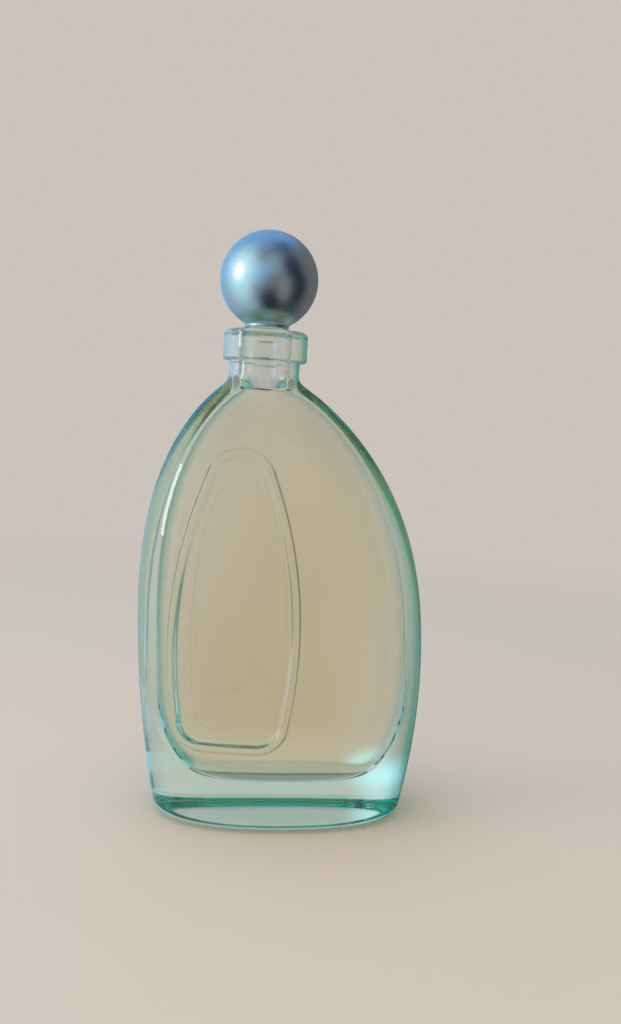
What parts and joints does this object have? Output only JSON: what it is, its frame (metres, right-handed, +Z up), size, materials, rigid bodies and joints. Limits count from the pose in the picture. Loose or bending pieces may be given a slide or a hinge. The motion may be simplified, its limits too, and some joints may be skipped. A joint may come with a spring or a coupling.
{
  "type": "aftershave bottle",
  "caption": "Small domed glass flask of aftershave that leans to one side, with a thick base, a beaded panel and a rounded lip, closed by a push-in plastic plug under a satin silver ball that lifts out and turns.",
  "frame": {"origin": "on the table under the middle of the overall width and depth; the neck stands 4 mm to the left of it", "axes": "+Z up, in line with the upright neck, +X to the right of the front, front faces -Y"},
  "size_m": [0.0358, 0.0181, 0.0712],
  "materials": {
    "clear_glass": "clear soda glass with a faint green edge",
    "aftershave": "clear pale yellow liquid",
    "natural_polythene": "milky natural polythene",
    "satin_silver": "satin silver"
  },
  "bodies": {
    "bottle": {"glass_bottle": "clear_glass", "aftershave": "aftershave"},
    "plug": {"stopper_plug": "natural_polythene"},
    "ball": {"stopper_ball": "satin_silver"}
  },
  "joints": [
    {"name": "stopper_lift", "type": "slide", "parent": "bottle", "child": "plug", "axis": [0, 0, 1], "range_m": [0, 0.012]},
    {"name": "ball_swivel", "type": "hinge", "parent": "plug", "child": "ball", "pos_m": [-0.004, 0, 0.0655], "axis": [0, 0, 1], "continuous": true}
  ]
}
